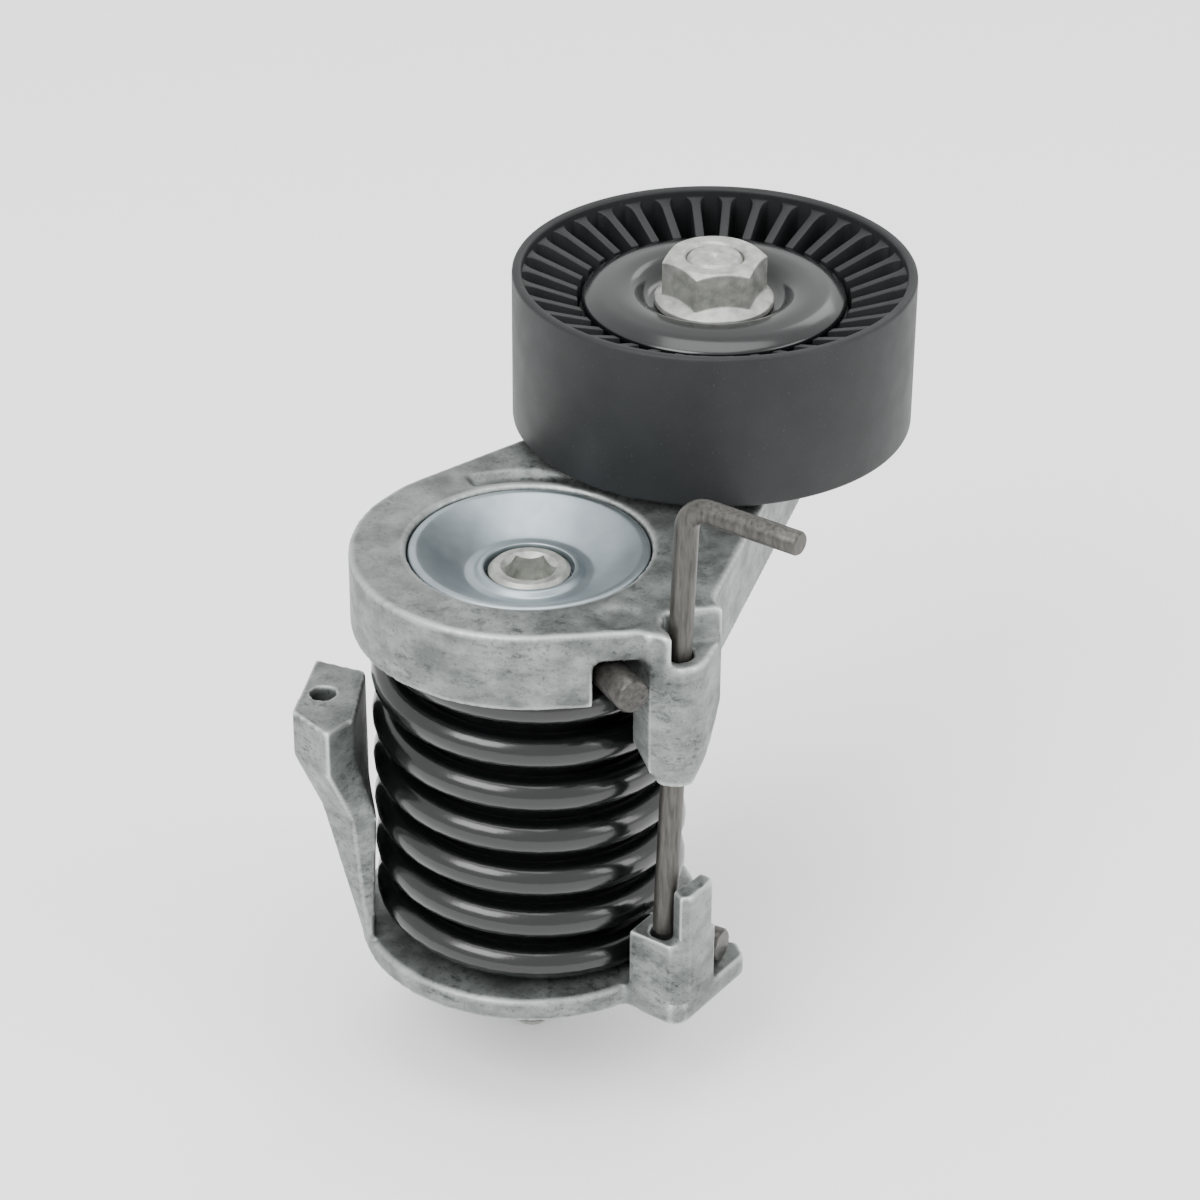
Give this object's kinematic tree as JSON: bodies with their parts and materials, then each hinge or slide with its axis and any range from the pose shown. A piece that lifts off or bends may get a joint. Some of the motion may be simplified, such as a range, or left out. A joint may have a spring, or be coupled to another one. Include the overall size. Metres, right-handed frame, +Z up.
{
  "type": "belt tensioner idler",
  "caption": "Spring-loaded belt tensioner: die-cast base and swing arm on a pivot, black torsion spring, smooth idler pulley on a sealed ball bearing, and a bent locking pin",
  "frame": {"origin": "on the arm's pivot axis, in the flat underside of the base that bolts to the engine", "axes": "+Z runs up the pivot axis from the mounting face towards the end cap; +Y runs from the pivot to the pulley axis while the arm is held by its locking pin"},
  "size_m": [0.0913, 0.1238, 0.1293],
  "materials": {
    "cast_aluminium": "die-cast, tumbled",
    "zinc_sheet": "zinc plated, satin",
    "zinc_bolt": "zinc flake",
    "black_spring_steel": "black gloss paint",
    "pin_steel": "phosphated wire",
    "shaft_steel": "ground",
    "bush_polymer": "moulded",
    "liner_nylon": "moulded",
    "friction_polymer": "moulded",
    "pulley_plastic": "glass-filled nylon",
    "bearing_steel": "polished",
    "cage_polymer": "moulded",
    "seal_rubber": "moulded",
    "black_shield_steel": "black gloss coating"
  },
  "bodies": {
    "base": {"base_casting": "cast_aluminium", "pivot_shaft": "shaft_steel", "mounting_bolt": "zinc_bolt", "end_cap": "zinc_sheet", "thrust_washer": "bush_polymer", "lower_spring_guide": "liner_nylon", "torsion_spring": "black_spring_steel"},
    "arm": {"arm_casting": "cast_aluminium", "upper_bush": "bush_polymer", "lower_bush": "bush_polymer", "friction_ring": "friction_polymer", "damping_sleeve": "liner_nylon", "pulley_stud": "zinc_bolt", "bearing_sleeve": "shaft_steel", "bearing_inner_ring": "bearing_steel", "front_shield": "black_shield_steel", "rear_shield": "black_shield_steel", "flange_nut": "zinc_bolt"},
    "pulley": {"pulley_wheel": "pulley_plastic", "bearing_outer_ring": "bearing_steel", "front_seal": "seal_rubber", "rear_seal": "seal_rubber"},
    "ball_train": {"ball_cage": "cage_polymer", "bearing_balls": "bearing_steel"},
    "pin": {"locking_pin": "pin_steel"}
  },
  "joints": [
    {"name": "arm_swing", "type": "hinge", "parent": "base", "child": "arm", "pos_m": [0, 0, 0.069], "axis": [0, 0, 1], "range_deg": [-8, 32], "stiffness_Nm_per_rad": 8, "deforming": ["torsion_spring"]},
    {"name": "pulley_spin", "type": "hinge", "parent": "arm", "child": "pulley", "pos_m": [0, 0.05405, 0.0925], "axis": [0, 0, 1], "continuous": true},
    {"name": "ball_train_spin", "type": "hinge", "parent": "arm", "child": "ball_train", "pos_m": [0, 0.05405, 0.0925], "axis": [0, 0, 1], "continuous": true},
    {"name": "pin_pull", "type": "slide", "parent": "arm", "child": "pin", "axis": [0.0261, 0.0185, 0.9995], "range_m": [0, 0.058]}
  ],
  "couplings": [
    {"joint": "ball_train_spin", "follows": "pulley_spin", "ratio": 0.619}
  ]
}
